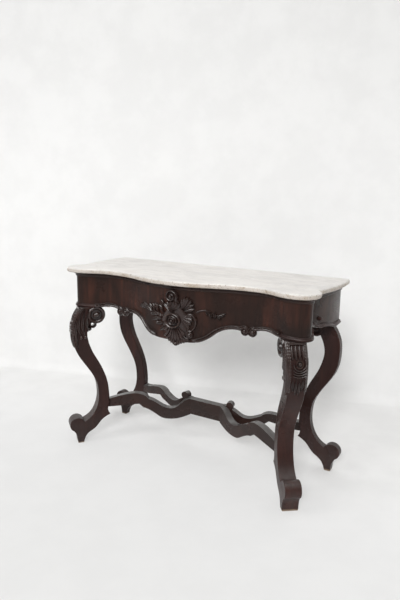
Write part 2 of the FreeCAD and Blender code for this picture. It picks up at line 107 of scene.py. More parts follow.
def noiseAt(vector, scale, detail=3.0, rough=0.55, bend=0.0):
    values = {"Vector": vector, "Scale": scale, "Detail": detail, "Roughness": rough, "Distortion": bend}
    return addNode("TexNoise", values)[0]


# noise between two levels: the noise's shape, then the levels and what they become
def patchy(vector, shape, levels):
    return spread(noiseAt(vector, *shape), *levels)


def heightOf(vector):
    return addNode("SeparateXYZ", {0: vector})["Z"]


def bumped(height, strength, distance):
    return addNode("Bump", {"Height": height, "Strength": strength, "Distance": distance})[0]


def newGroup(name, inputs, outputs):
    tree = bench["tree"] = bpy.data.node_groups.new(name, "ShaderNodeTree")
    for way, sockets in (("INPUT", inputs), ("OUTPUT", outputs)):
        for kind, labels in sockets.items():
            for label in labels.split():
                tree.interface.new_socket(name=label, in_out=way, socket_type="NodeSocket" + kind)
    return tree, tree.nodes.new("NodeGroupInput").outputs, tree.nodes.new("NodeGroupOutput")


def newMaterial(name):
    material = bpy.data.materials.new(name)
    material.use_nodes = True
    tree = bench["tree"] = material.node_tree
    tree.nodes.clear()
    shader = tree.nodes.new("ShaderNodeBsdfPrincipled")
    output = tree.nodes.new("ShaderNodeOutputMaterial")
    tree.links.new(shader.outputs[0], output.inputs["Surface"])
    return material, shader


# streaks and pores along z, with slow drifts between a dark and a warm tone: stretch, noise, levels
grain = {
    "broad": ((5.0, 5.0, 2.2), (3.0, 0.5, 1.2), (0.28, 0.78)),
    "streak": ((46.0, 46.0, 3.4), (4.0, 0.6, 0.5), (0.3, 0.76)),
    "pores": ((620.0, 620.0, 26.0), (2.0, 0.5), (0.3, 0.46)),
    "smear": ((9.0, 9.0, 9.0), (4.0,), (0.3, 0.7, 0.24, 0.4)),
    "least": 0.25, "poreDepth": 0.35, "poreRise": 0.6, "lineRise": 0.4,
}


def makeFigure():
    tree, given, out = newGroup(
        "woodFigure", {"Vector": "Vector", "Color": "Dark Warm", "Float": "Figure"},
        {"Color": "Color", "Float": "Rough Height"})

    def grained(kind):
        stretch, shape, levels = grain[kind]
        run = addNode("VectorMath", {0: given["Vector"], 1: stretch}, operation="MULTIPLY")[0]
        return patchy(run, (1.0, *shape), levels)

    lines, pore = grained("streak"), grained("pores")
    drift = times(grained("broad"), given["Figure"])
    share = times(drift, plus(lines, grain["least"]))
    toned = mixed(maths("MINIMUM", share, 1.0), given["Dark"], given["Warm"])
    shade = plus(times(pore, grain["poreDepth"]), 1 - grain["poreDepth"])
    rise = plus(times(pore, grain["poreRise"]), times(lines, grain["lineRise"]))
    feed(out, {"Color": mixed(1.0, toned, shade, "MULTIPLY"), "Rough": grained("smear"), "Height": rise})
    return tree


# rubbed crests, and dirt with painted shade in hollows, from the relief that is kept with each mesh
wearAndShade = {
    "crest": (0.6, 0.9), "hollow": (0.47, 0.27), "patch": ((38.0, 4.0, 0.6), (0.36, 0.66)), "rubbing": 0.55,
    "dulling": 0.25,
}


def makeWearAndShade():
    tree, given, out = newGroup(
        "wornEdgesShadedHollows", {"Vector": "Vector", "Color": "Color Rubbed Dirt", "Float": "Rough Dirty"},
        {"Color": "Color", "Float": "Rough"})
    relief = addNode("Attribute", attribute_name="relief")["Fac"]
    patch = patchy(given["Vector"], *wearAndShade["patch"])
    crest = times(spread(relief, *wearAndShade["crest"]), patch)
    # hollows darken towards near black: partly dirt, partly painted shade in the recesses
    hollow = spread(relief, *wearAndShade["hollow"])
    rubbed = mixed(times(crest, wearAndShade["rubbing"]), given["Color"], given["Rubbed"])
    feed(out, {
        "Color": mixed(times(hollow, given["Dirty"]), rubbed, given["Dirt"]),
        "Rough": plus(given["Rough"], times(hollow, wearAndShade["dulling"]))})
    return tree


# dust with a painted sheen on what faces up, dust round the feet, and bare wood where the feet have scuffed the
# floor
settledAndSheen = {
    "patch": ((24.0, 4.0), (0.3, 0.7, 0.55, 1.0)), "upward": (0.45, 0.95), "low": (0.22, 0.02, 0.0, 0.09),
    "scuff": (0.003, -0.003), "ragged": -0.012, "raggedScale": 55.0, "bared": 0.8,
}


def makeDustSheenAndScuffs():
    tree, given, out = newGroup(
        "dustSheenAndScuffs", {"Vector": "Vector Normal", "Color": "Color Worn Dust", "Float": "TopDustSheen"},
        {"Color": "Color"})
    height = heightOf(given["Vector"])
    # faces turned up are lightened towards grey: partly dust, partly a painted sheen where they catch the light
    flat = spread(heightOf(given["Normal"]), *settledAndSheen["upward"])
    dustAndSheenShare = plus(times(flat, given["TopDustSheen"]), spread(height, *settledAndSheen["low"]))
    dustAndSheenFilm = times(dustAndSheenShare, patchy(given["Vector"], *settledAndSheen["patch"]))
    dustedAndSheened = mixed(dustAndSheenFilm, given["Color"], given["Dust"])
    uneven = times(noiseAt(given["Vector"], settledAndSheen["raggedScale"]), settledAndSheen["ragged"])
    scuff = spread(plus(height, uneven), *settledAndSheen["scuff"])
    feed(out, {"Color": mixed(times(scuff, settledAndSheen["bared"]), dustedAndSheened, given["Worn"])})
    return tree


woodFigure, wornEdgesShadedHollows, dustSheenAndScuffs = makeFigure(), makeWearAndShade(), makeDustSheenAndScuffs()
upright, lengthways, leaning = (0.0, 0.0, 0.0), (0.0, 1.5708, 0.0), (0.0, 0.6, 0.0)  # turns of the grain

# dark lacquered mahogany
# each finish's dust share also paints a pale sheen on faces turned up
finishes = {
    "apronVeneer": {
        "turn": upright, "dark": (0.0168, 0.01, 0.0081), "warm": (0.061, 0.0225, 0.015), "figure": 1.05,
        "coat": 0.12, "specular": 0.13, "dirty": 0.5, "dust": 0.05},
    "legMahogany": {
        "turn": upright, "dark": (0.0262, 0.0138, 0.0124), "warm": (0.051, 0.0203, 0.016), "figure": 0.9,
        "coat": 0.08, "specular": 0.15, "dirty": 0.6, "dust": 0.16},
    "railMahogany": {
        "turn": lengthways, "dark": (0.0205, 0.0112, 0.0092), "warm": (0.042, 0.0185, 0.014), "figure": 0.8,
        "coat": 0.12, "specular": 0.27, "dirty": 0.6, "dust": 0.8},
    "carvedMahogany": {
        "turn": leaning, "dark": (0.022, 0.0122, 0.0103), "warm": (0.042, 0.02, 0.0156), "figure": 0.7,
        "coat": 0.7, "specular": 0.35, "gloss": 0.08, "dirty": 0.95, "dust": 0.06},
}
# the near-black in hollows is dirt and painted shade alike
lacquer = {
    "rubbed": (0.105, 0.06, 0.042), "dirt": (0.006, 0.004, 0.0035), "worn": (0.27, 0.2, 0.14),
    "dust": (0.18, 0.178, 0.174), "coatRough": 0.16, "bump": (0.1, 0.0006),
}


def addFigure(wood):
    places = addNode("TexCoord")
    run = addNode("Mapping", {"Vector": places["Object"], "Rotation": wood["turn"]})[0]
    values = {"Vector": run, "Dark": wood["dark"], "Warm": wood["warm"], "Figure": wood["figure"]}
    return places, addNode("Group", values, node_tree=woodFigure)


def makeWood(name, finish):
    material, shader = newMaterial(name)
    places, figure = addFigure(finish)
    wornAndShaded = addNode("Group", {
        "Vector": places["Object"], "Color": figure["Color"], "Rough": figure["Rough"],
        "Rubbed": lacquer["rubbed"], "Dirt": lacquer["dirt"], "Dirty": finish["dirty"],
    }, node_tree=wornEdgesShadedHollows)
    dustSheenScuffed = addNode("Group", {
        "Vector": places["Object"], "Normal": places["Normal"], "Color": wornAndShaded["Color"],
        "Worn": lacquer["worn"], "Dust": lacquer["dust"], "TopDustSheen": finish["dust"],
    }, node_tree=dustSheenAndScuffs)
    feed(shader, {
        "Base Color": dustSheenScuffed["Color"],
        "Roughness": maths("SUBTRACT", wornAndShaded["Rough"], finish.get("gloss", 0.0)),
        "Normal": bumped(figure["Height"], *lacquer["bump"]), "Coat Weight": finish["coat"],
        "Coat Roughness": lacquer["coatRough"], "Specular IOR Level": finish["specular"],
    })
    return material


# unpolished secondary wood inside the frame
bareWood = {
    "turn": lengthways, "dark": (0.16, 0.09, 0.048), "warm": (0.34, 0.21, 0.115), "figure": 1.0, "rough": 0.75,
    "bump": (0.3, 0.001),
}


def makeBareWood():
    material, shader = newMaterial("bareDeal")
    figure = addFigure(bareWood)[1]
    feed(shader, {
        "Base Color": figure["Color"], "Roughness": bareWood["rough"],
        "Normal": bumped(figure["Height"], *bareWood["bump"]),
    })
    return material


steel = {
    "colour": (0.3, 0.29, 0.28), "rust": (0.14, 0.065, 0.03), "spots": ((160.0, 4.0), (0.45, 0.65)),
    "rough": (0.35, 0.8),
}


def makeSteel():
    material, shader = newMaterial("oldSteel")
    rust = patchy(addNode("TexCoord")["Object"], *steel["spots"])
    feed(shader, {
        "Base Color": mixed(rust, steel["colour"], steel["rust"]),
        "Roughness": spread(rust, 0.0, 1.0, *steel["rough"]), "Metallic": 0.9,
    })
    return material


# warm white marble with faint grey veins, old stains, a speckled rim darkened by grime and painted shade, and a
# dull polish
marble = {
    "ground": (0.69, 0.67, 0.645), "grey": (0.56, 0.545, 0.53), "vein": (0.42, 0.41, 0.405),
    "stain": (0.36, 0.29, 0.215), "speck": (0.17, 0.125, 0.09), "edge": (0.45, 0.4, 0.355),
    "turn": (0.2, 0.1, 0.55), "stretch": (1.0, 2.4, 1.5), "cloud": ((4.5, 5.0, 0.6, 0.8), (0.42, 0.72)),
    "veins": ((3.2, 6.0, 0.62, 1.8), (0.03, 0.0, 0.0, 0.22)),
    "hairs": ((9.0, 5.0, 0.6, 1.0), (0.018, 0.0, 0.0, 0.12)),
    "blots": ((13.0, 5.0, 0.65), (0.46, 0.7, 0.0, 0.7)), "flecks": ((95.0, 3.0, 0.6), (0.55, 0.66)),
    "specks": ((150.0, 3.0, 0.65), (0.585, 0.65)), "pits": ((240.0, 2.0), (0.28, 0.4)),
    "smear": ((14.0, 4.0), (0.3, 0.7, 0.3, 0.46)), "edgeAt": (0.8575, 0.852),
    "rimAt": (0.8594, 0.856, 0.0, 0.75), "clouding": 0.8, "grimeAndShade": 0.75, "edgeStain": 0.72, "topStain": 0.09,
    "specular": 0.22, "bump": (0.12, 0.0006),
}


def makeMarble():
    material, shader = newMaterial("agedMarble")
    spot = addNode("TexCoord")["Object"]
    run = addNode("Mapping", {"Vector": spot, "Rotation": marble["turn"], "Scale": marble["stretch"]})[0]
    cloud = times(patchy(run, *marble["cloud"]), marble["clouding"])
    colour = mixed(cloud, marble["ground"], marble["grey"])
    for kind in ("veins", "hairs"):
        shape, levels = marble[kind]
        middle = maths("ABSOLUTE", maths("SUBTRACT", noiseAt(run, *shape), 0.5), 0.0)
        colour = mixed(spread(middle, *levels), colour, marble["vein"])
    height = heightOf(spot)
    # below the top rounding the slab turns warm tan: partly grime, partly painted shade on the edge that faces
    # away from the light above
    edge = spread(height, *marble["edgeAt"])
    colour = mixed(times(edge, marble["grimeAndShade"]), colour, marble["edge"])
    spots = plus(patchy(spot, *marble["blots"]), patchy(spot, *marble["flecks"]), True)
    ringed = plus(times(edge, marble["edgeStain"]), marble["topStain"])
    colour = mixed(times(spots, ringed), colour, marble["stain"])
    speckled = times(patchy(spot, *marble["specks"]), spread(height, *marble["rimAt"]))
    feed(shader, {
        "Base Color": mixed(speckled, colour, marble["speck"]), "Specular IOR Level": marble["specular"],
        "Roughness": patchy(spot, *marble["smear"]),
        "Normal": bumped(patchy(spot, *marble["pits"]), *marble["bump"]),
    })
    return material


looks = {name: makeWood(name, finish) for name, finish in finishes.items()}
looks.update(bareDeal=makeBareWood(), oldSteel=makeSteel(), agedMarble=makeMarble())
print("materials made")


def newVerts(grown):
    return [item for item in grown["geom"] if isinstance(item, bmesh.types.BMVert)]


def mergeInto(bm, part):
    ops.recalc_face_normals(part, faces=part.faces)
    carried = bpy.data.meshes.new("carried")
    part.to_mesh(carried)
    part.free()
    bm.from_mesh(carried)
    bpy.data.meshes.remove(carried)


# how far each point stands proud of its neighbours, 0.5 where the surface is flat or its faces are broad
def keepRelief(mesh, reach, broad=4e-5, gain=1.1):
    bm = bmesh.new()
    bm.from_mesh(mesh)
    values = []
    for vert in bm.verts:
        if not vert.link_edges or max(face.calc_area() for face in vert.link_faces) > broad:
            values.append(0.5)
            continue
        total = sum(vert.normal.dot(vert.co - edge.other_vert(vert).co) / max(edge.calc_length(), reach)
                    for edge in vert.link_edges)
        values.append(min(1.0, max(0.0, 0.5 + gain * total / len(vert.link_edges))))
    bm.free()
    layer = mesh.attributes.new("relief", "FLOAT", "POINT")
    layer.data.foreach_set("value", values)


def addObject(bm, name, material):
    mesh = bpy.data.meshes.new(name)
    bm.to_mesh(mesh)
    bm.free()
    mesh.materials.append(material)
    mesh.shade_smooth()
    thing = bpy.data.objects.new(name, mesh)
    scene.collection.objects.link(thing)
    return thing


def makePiece(bm, name, replaced, look="carvedMahogany", body="frame", sharp=40.0, reach=0.004,
              flat=False):
    piece = addObject(bm, name, looks[look])
    piece.data.set_sharp_from_angle(angle=radians(sharp))
    keepRelief(piece.data, reach)
    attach(piece, body)
    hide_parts(replaced)
    if flat:
        piece.modifiers.new("flatSides", "WEIGHTED_NORMAL").keep_sharp = True


# a ring of points is carried from place to place and closed at both ends
def sweepRings(rings):
    part = bmesh.new()
    ring = [part.verts.new(point) for point in rings[0]]
    cap = part.faces.new(ring)
    for points in rings[1:]:
        order = {vert: place for place, vert in enumerate(ring)}
        grown = ops.extrude_face_region(part, geom=[cap])
        cap = next(item for item in grown["geom"] if isinstance(item, bmesh.types.BMFace))
        ring = [None] * len(points)
        for vert in cap.verts:
            below = next(edge.other_vert(vert) for edge in vert.link_edges if edge.other_vert(vert) in order)
            ring[order[below]] = vert
        for vert, point in zip(ring, points):
            vert.co = point
    return part


def spinRound(part, geom, axis, steps):
    ops.spin(part, geom=geom, cent=(0, 0, 0), axis=axis, angle=2 * pi, steps=steps, use_merge=True,
             use_duplicate=False)
    ops.remove_doubles(part, verts=part.verts, dist=1e-6)


# an even walk along a smooth line through the points
def smoothPath(points, count):
    spans = len(points) - 1
    walk = []
    for step in range(count + 1):
        place = min(step / count * spans, spans - 1e-9)
        first = int(place)
        t = place - first
        p1, p2 = Vector(points[first]), Vector(points[first + 1])
        p0 = Vector(points[first - 1]) if first else p1 * 2 - p2
        p3 = Vector(points[first + 2]) if first + 2 <= spans else p2 * 2 - p1
        walk.append(0.5 * (2 * p1 + (p2 - p0) * t + (2 * p0 - 5 * p1 + 4 * p2 - p3) * t ** 2
                           + (3 * p1 - p0 - 3 * p2 + p3) * t ** 3))
    return walk


def sideways(walk, place):
    ahead = walk[min(place + 1, len(walk) - 1)] - walk[max(place - 1, 0)]
    return ahead.orthogonal().normalized()


# sections of the carved bands: shares of the half width and of the height
gutter = [(-1.0, -1), (-1.0, 0.3), (-0.88, 0.52), (-0.6, 0.66), (-0.25, 0.64), (0.05, 0.5), (0.22, 0.36),
          (0.34, 0.62), (0.5, 0.92), (0.68, 1.0), (0.86, 0.86), (1.0, 0.4), (1.0, -1)]
roll = [(-1.0, -1), (-1.0, 0.3), (-0.8, 0.68), (-0.45, 0.93), (0.0, 1.0), (0.45, 0.93), (0.8, 0.68),
        (1.0, 0.3), (1.0, -1)]


# a moulded band along a flat path, beaded or with a tongue at its start if asked
def carveBand(bm, spot, points, count, wide, high, profile=roll, taper=(1.0, 1.0), beads=0, sunk=0.002,
              flip=1.0, tongue=0.0):
    walk = smoothPath(points, count)
    rings = []
    for place, centre in enumerate(walk):
        share = place / count
        size = taper[0] + (taper[1] - taper[0]) * share
        if share < tongue:
            size *= 0.45 + 0.55 * sqrt(share / tongue)
        if beads:
            size *= 0.8 + 0.2 * abs(sin(pi * beads * share))
        across = sideways(walk, place) * flip
        ring = []
        for shareOut, rise in profile:
            flat = centre + across * (wide * size * shareOut)
            ring.append(spot(flat.x, flat.y, high * size * rise if rise > 0 else -sunk))
        rings.append(ring)
    mergeInto(bm, sweepRings(rings))


# points from the rim to the eye, start in degrees, turns negative for clockwise
def spiralPath(centre, start, turns, wide, narrow, steps):
    path = []
    for step in range(steps + 1):
        share = step / steps
        turn = radians(start) + 2 * pi * turns * share
        radius = wide + (narrow - wide) * share ** 0.85
        path.append((centre[0] + radius * cos(turn), centre[1] + radius * sin(turn)))
    return path


# a turned boss: profile of radius and height from the eye to the rim
def carveBoss(bm, spot, centre, profile, steps=20, stretch=(1.0, 1.0), turn=0.0, sunk=0.003):
    part = bmesh.new()
    line = [(0.0, profile[0][1]), *profile, (profile[-1][0], -sunk), (0.0, -sunk)]
    verts = [part.verts.new((radius, 0.0, rise)) for radius, rise in line]
    edges = [part.edges.new(pair) for pair in zip(verts, verts[1:])]
    spinRound(part, verts + edges, (0, 0, 1), steps)
    lean = Matrix.Rotation(radians(turn), 2)
    for vert in part.verts:
        flat = lean @ Vector((vert.co.x * stretch[0], vert.co.y * stretch[1]))
        vert.co = spot(centre[0] + flat.x, centre[1] + flat.y, vert.co.z)
    mergeInto(bm, part)


# a leaf along its rib: lobes notch the edge, a flute of the depth deep runs along the middle
def carveLeaf(bm, spot, rib, wide, high, low=0.0, lobes=0, notch=0.3, slant=0.6, deep=0.35, fat=0.7, tip=0.18,
              cols=8, rows=18, sunk=0.002, curl=0.0):
    part = bmesh.new()
    under = ops.create_grid(part, x_segments=cols, y_segments=rows, size=1.0)["verts"]
    over = newVerts(ops.extrude_face_region(part, geom=part.faces[:], use_keep_orig=True))
    walk = smoothPath(rib, rows * 2)

    def shaped(vert, lifted):
        across, share = vert.co.x, (vert.co.y + 1) / 2
        size = wide * (0.3 + 0.7 * sin(pi * min(1.0, share ** fat)))
        if share > 1 - tip:
            size *= max(0.1, sqrt(max(0.0, 1 - ((share - 1 + tip) / tip) ** 2)))
        wave = 1.0
        if lobes:
            wave = abs(sin(pi * lobes * share)) ** 0.55
            size *= 1 - notch * (1 - wave)
        ahead = share + slant * abs(across) ** 1.5 * (1 - share) / max(lobes, 2)
        place = min(ahead, 1.0) * (len(walk) - 1)
        first = min(int(place), len(walk) - 2)
        centre = walk[first].lerp(walk[first + 1], place - first)
        flat = centre + sideways(walk, first) * (size * across)
        rise = -sunk
        if lifted:
            crown = (1 - 0.72 * across ** 2) * min(1.0, 0.45 + 4 * share) * min(1.0, 0.5 + 4 * (1 - share))
            crown *= 1 - 0.5 * (1 - wave) * abs(across)
            crown *= 1 - deep * exp(-(across / 0.16) ** 2)
            rise = low + high * crown + curl * max(0.0, share - 0.7) ** 2 * 11
        vert.co = spot(flat.x, flat.y, rise)

    for vert in over:
        shaped(vert, True)
    for vert in under:
        shaped(vert, False)
    mergeInto(bm, part)


# leaves in groups of one shape, bands and bosses on one surface
def carve(bm, spot, leaves=(), bands=(), bosses=()):
    for shape, group in leaves:
        for leaf in group:
            carveLeaf(bm, spot, *leaf, **shape)
    for path, count, size, shape in bands:
        carveBand(bm, spot, path, count, *size, **shape)
    for boss in bosses:
        carveBoss(bm, spot, *boss)


# surfaces that the carving lies on
def sweepRadius(run, rise):
    return run / 2 / sin(2 * atan2(abs(rise), abs(run)))


hollowX, hollowY, lobeX = plan["hollowX"], plan["bow"] + plan["hollowRise"], plan["lobeX"]
lobeRun, inset = lobeX - hollowX, plan["overhang"]
bowRadius = sweepRadius(hollowX, plan["hollowRise"])
lobeSweep = sweepRadius(lobeRun, plan["hollowRise"] - plan["lobeBack"])
cornerRadius = plan["lobeRadius"] - inset
frontArcs = [  # where the arc stops, its centre and radius, and which side of the centre it lies on
    (hollowX / 2 * (bowRadius - inset) / bowRadius, (0.0, plan["bow"] + bowRadius), bowRadius - inset, -1.0),
    (hollowX, (hollowX, hollowY - bowRadius), bowRadius + inset, 1.0),
    (hollowX + lobeRun / 2 * (lobeSweep + inset) / lobeSweep, (hollowX, hollowY - lobeSweep),
     lobeSweep + inset, 1.0),
    (lobeX, (lobeX, lobeFront + lobeSweep), lobeSweep - inset, -1.0),
    (inf, (lobeX, lobeY), cornerRadius, -1.0),
]


# the apron's front face at x: the point and the way it faces
def frontAt(x):
    s = abs(x)
    centre, radius, bulge = next(arc[1:] for arc in frontArcs if s < arc[0])
    y = centre[1] + bulge * sqrt(max(1e-9, radius ** 2 - (s - centre[0]) ** 2))
    facing = Vector((s - centre[0], y - centre[1], 0.0)).normalized() * -bulge
    return Vector((x, y, 0.0)), Vector((facing.x * copysign(1.0, x), facing.y, 0.0))


def apronSpot(x, z, out):
    point, facing = frontAt(x)
    return Vector((point.x + facing.x * out, point.y + facing.y * out, z))


def circleThrough(*points):
    a, b, c = (complex(*point) for point in points)
    share = (c - a) / (b - a)
    centre = a + (b - a) * (share - abs(share) ** 2) / (2j * share.imag)
    return centre, abs(centre - a)


cuspRun = plan["lobeRadius"] - plan["cuspDepth"]
endCentre, endRadius = circleThrough(
    (lobeX + cuspRun, lobeY + sqrt(plan["lobeRadius"] ** 2 - cuspRun ** 2)),
    (plan["halfWidth"], plan["backEdge"] - plan["swellBack"]),
    (plan["halfWidth"] - plan["narrow"], plan["backEdge"]))
endFaceRadius = endRadius - inset
# the turn at which the round corner meets the end board
gap = endCentre - complex(lobeX, lobeY)
meeting = (cornerRadius ** 2 + abs(gap) ** 2 - endFaceRadius ** 2) / (2 * cornerRadius * abs(gap))
creaseTurn = atan2(gap.imag, gap.real) - acos(meeting)


# the right end's face at y
def endAt(y):
    depth = y - endCentre.imag
    run = sqrt(endFaceRadius ** 2 - depth ** 2)
    return Vector((endCentre.real + run, y, 0.0)), Vector((run, depth, 0.0)).normalized()


def cornerAt(turn):
    facing = Vector((cos(turn), sin(turn), 0.0))
    return Vector((lobeX, lobeY, 0.0)) + facing * cornerRadius, facing


# points and the way they face, from startX on the front round the right corner
def faceRun(startX, step=0.008, turns=14):
    count = max(2, int((lobeX - startX) / step))
    run = [frontAt(startX + (lobeX - 1e-6 - startX) * n / count) for n in range(count)]
    return run + [cornerAt(-pi / 2 * (1 - n / turns)) for n in range(turns + 1)]


# from the right corner along the end to the frame's back
def endRun(step=0.008, turns=8):
    run = [cornerAt(creaseTurn * n / turns) for n in range(turns)]
    point, first = cornerAt(creaseTurn)
    mitre = (first + endAt(point.y)[1]).normalized()
    run.append((point, mitre / max(0.35, mitre.dot(first))))
    length = plan["backFace"] - point.y
    count = max(2, int(length / step))
    return run + [endAt(point.y + length * n / count) for n in range(1, count + 1)]


def flipped(run):
    return [(Vector((-p.x, p.y, p.z)), Vector((-n.x, n.y, n.z))) for p, n in reversed(run)]


print("surfaces ready")

# boards and stretcher keep the sawn shapes, with rubbed edges: look, rounding, nodes
boards = [
    ("apronVeneer", mm(1.6), ["front_apron", "left_end_apron", "right_end_apron"]),
    ("railMahogany", mm(1.6), ["back_rail"]),
    ("railMahogany", mm(3.5), ["centre_bar", "front_left_arm", "front_right_arm"]),
    ("railMahogany", mm(3.0), ["back_left_arm", "back_right_arm"]),
]
mergeGap = 2e-5  # the solids' loose triangles are joined within this distance


def solidCopy(node):
    bm = bmesh.new()
    bm.from_mesh(nodes[node].data)
    ops.remove_doubles(bm, verts=bm.verts, dist=mergeGap)
    return bm


def roundEdges(bm, edges, soft, segments, clamp=False):
    ops.bevel(bm, geom=edges, offset=soft, offset_type="OFFSET", segments=segments, profile=0.5,
              affect="EDGES", clamp_overlap=clamp, material=-1)


def roundedCopy(node, look, soft, flatTurn=0.5, sharpTurn=32.0):
    bm = solidCopy(node)
    ops.dissolve_limit(bm, angle_limit=radians(flatTurn), verts=bm.verts, edges=bm.edges)
    sharp = [edge for edge in bm.edges
             if len(edge.link_faces) == 2 and edge.calc_face_angle(0.0) > radians(sharpTurn)]
    roundEdges(bm, sharp, soft, 3, True)
    makePiece(bm, node + "_board", node, look, flat=True)


for look, soft, names in boards:
    for node in names:
        roundedCopy(node, look, soft)
print("boards dressed")

# cut is where the leg's outline is taken from the solid, across its thickness
legs = {
    "front": {"turn": -52.0, **mm({"foot": (552, -193), "thick": 67, "cut": 24, "soft": 4})},
    "back": {"turn": 0.0, **mm({"foot": (579, 195), "thick": 36, "cut": -12.5, "soft": 3.5})},
}
# turned discs on the volutes of the back legs
disc = mm({"eye": (-87.2, 641), "shape": [
    (3, 7.5), (7, 6.8), (9.2, 3), (11.2, 1.4), (18, 1.6), (20.5, 4.6), (25.5, 5.6), (29.5, 4.2), (31.2, 0)]})


def legAxes(size, hand):
    turn = radians(size["turn"])
    along = Vector((hand * cos(turn), sin(turn), 0.0))
    across = Vector((-sin(turn), hand * cos(turn), 0.0))
    return Vector((hand * size["foot"][0], size["foot"][1], 0.0)), along, across


def crossCut(bm, place, facing, gap):
    ops.bisect_plane(bm, geom=bm.verts[:] + bm.edges[:] + bm.faces[:], dist=1e-6, plane_co=place,
                     plane_no=facing, clear_inner=True, clear_outer=True)
    ops.remove_doubles(bm, verts=bm.verts, dist=gap)


def makeLeg(node, size, hand, discs):
    foot, along, across = legAxes(size, hand)
    cut = size["cut"] * hand
    bm = solidCopy(node)
    crossCut(bm, foot + across * cut, across, 1e-3)
    ops.contextual_create(bm, geom=bm.edges[:])
    ops.translate(bm, verts=bm.verts, vec=across * -(cut + size["thick"] / 2))
    moved = newVerts(ops.extrude_face_region(bm, geom=bm.faces[:]))
    ops.translate(bm, verts=moved, vec=across * size["thick"])
    ops.recalc_face_normals(bm, faces=bm.faces)
    rims = [edge for edge in bm.edges if any(len(face.verts) > 8 for face in edge.link_faces)]
    roundEdges(bm, rims, size["soft"], 4)
    for side in discs:
        def spot(s, z, out):
            return foot + along * s + across * (side * (size["thick"] / 2 + out)) + upward * z
        carveBoss(bm, spot, disc["eye"], disc["shape"], 36)
    makePiece(bm, node + "_sawn", node, "legMahogany", reach=0.006, flat=True)


for hand, word in sides:
    makeLeg("front_" + word + "_leg", legs["front"], hand, ())
    makeLeg("back_" + word + "_leg", legs["back"], hand, (1.0, -1.0))
print("legs sawn")


# a section of out and up is carried along a run, at a height for each point
def makeStrip(name, replaced, run, section, heightAt, look, extra=None):
    bm = bmesh.new()
    mergeInto(bm, sweepRings(
        [[p + n * out + upward * (heightAt(p) + up) for out, up in section] for p, n in run]))
    if extra:
        extra(bm)
    makePiece(bm, name, replaced, look)


# section of the moulding under the marble
moulding = mm([
    (-1, 0), (-1, -19), (3.5, -19), (5.2, -17.5), (5.5, -15.5), (4.2, -13.8), (4.8, -11.8), (7, -9.6),
    (10, -7.8), (11.8, -6), (12, -3.6), (11.2, 0)])
frontHalf = faceRun(0.0)
for name, node, run in (
        ("topMouldingFront", "top_moulding_front", flipped(frontHalf)[:-1] + frontHalf),
        ("topMouldingRight", "right_top_moulding", endRun()),
        ("topMouldingLeft", "left_top_moulding", flipped(endRun()))):
    makeStrip(name, node, run, moulding, lambda p: plan["marbleFoot"], "railMahogany")
print("top moulding run")

# sawn lower edges as runs and heights: along x on the front, along y from the corner on the ends
# between two marks the edge sweeps like an S, falls as an arc from a level start or climbs to a level end
frontMarks = mm([(78, 600), (260, 671), (316, 658), (397, 682), (468, 674)])
frontKinds = ("sweep", "fall", "climb", "sweep")
endMarks = mm([(0, 674), (48, 720), (140, 696), (300, 674)])
endKinds = ("sweep",) * 3


def sweepRise(run, rise, s):
    radius = sweepRadius(run, rise)
    if s <= run / 2:
        lift = radius - sqrt(max(0.0, radius ** 2 - s ** 2))
    else:
        lift = abs(rise) - radius + sqrt(max(0.0, radius ** 2 - (run - s) ** 2))
    return copysign(lift, rise)


def arcDrop(run, drop, s):
    radius = run / sin(2 * atan2(drop, run))
    return radius - sqrt(max(0.0, radius ** 2 - s ** 2))


def edgeHeight(marks, kinds, place):
    for (start, z), (stop, nextZ), kind in zip(marks, marks[1:], kinds):
        if place < stop:
            run, rise, s = stop - start, nextZ - z, max(0.0, place - start)
            if kind == "fall":
                return z - arcDrop(run, -rise, s)
            if kind == "climb":
                return nextZ - arcDrop(run, rise, run - s)
            return z + sweepRise(run, rise, s)
    return marks[-1][1]


# C-scrolls along the front's edge, each with a small volute at its end
scrolls = {
    "inner": {"from": 122.0, "turns": -1.25, "flip": 1.0, "tongue": 0.05,
              **mm({"start": 90, "stop": 280, "eye": (303, 670), "rim": 18})},
    "outer": {"from": 58.0, "turns": 1.25, "flip": -1.0, "tongue": 0.0,
              **mm({"start": 468, "stop": 360, "eye": (338, 669), "rim": 18.5})},
}
scrollBand = mm({"half": 10.8, "high": 15, "core": 6.5, "boss": [(3.5, 13.5), (6.2, 11.5), (8, 7.5), (8.6, 0)]})


def makeScroll(kind, hand, word):
    size, half = scrolls[kind], scrollBand["half"]
    bm = bmesh.new()
    points = []
    for n in range(13):
        x = size["start"] + (size["stop"] - size["start"]) * n / 12
        points.append((hand * x, edgeHeight(frontMarks, frontKinds, x) + half))
    spiral = spiralPath(size["eye"], size["from"], size["turns"], size["rim"], scrollBand["core"], 16)
    points += [(hand * x, z) for x, z in spiral]
    carveBand(bm, apronSpot, points, 110, half, scrollBand["high"], gutter, (1.0, 0.5),
              flip=size["flip"] * hand, tongue=size["tongue"])
    carveBoss(bm, apronSpot, (hand * size["eye"][0], size["eye"][1]), scrollBand["boss"])
    makePiece(bm, word + kind.capitalize() + "Scroll", word + "_" + kind + "_scroll")


# beads round the corners and along the ends, with a ball on each end
bead = mm({
    "section": [(-1, 0), (4.5, 0), (7.8, 1.8), (9.2, 5), (8.5, 8.4), (6.2, 10.6), (4.8, 11.8), (5.6, 13.4),
                (4.6, 15.5), (2.2, 16.2), (-1, 16.2)],
    "ball": (122, 736), "ballShape": [(3, 11.5), (6.2, 9.5), (8.4, 5.5), (9, 0)],
})


def endBall(hand):
    def spot(s, z, out):
        p, n = endAt(lobeY + s)
        return Vector((hand * (p.x + n.x * out), p.y + n.y * out, z))

    return lambda bm: carveBoss(bm, spot, bead["ball"], bead["ballShape"])


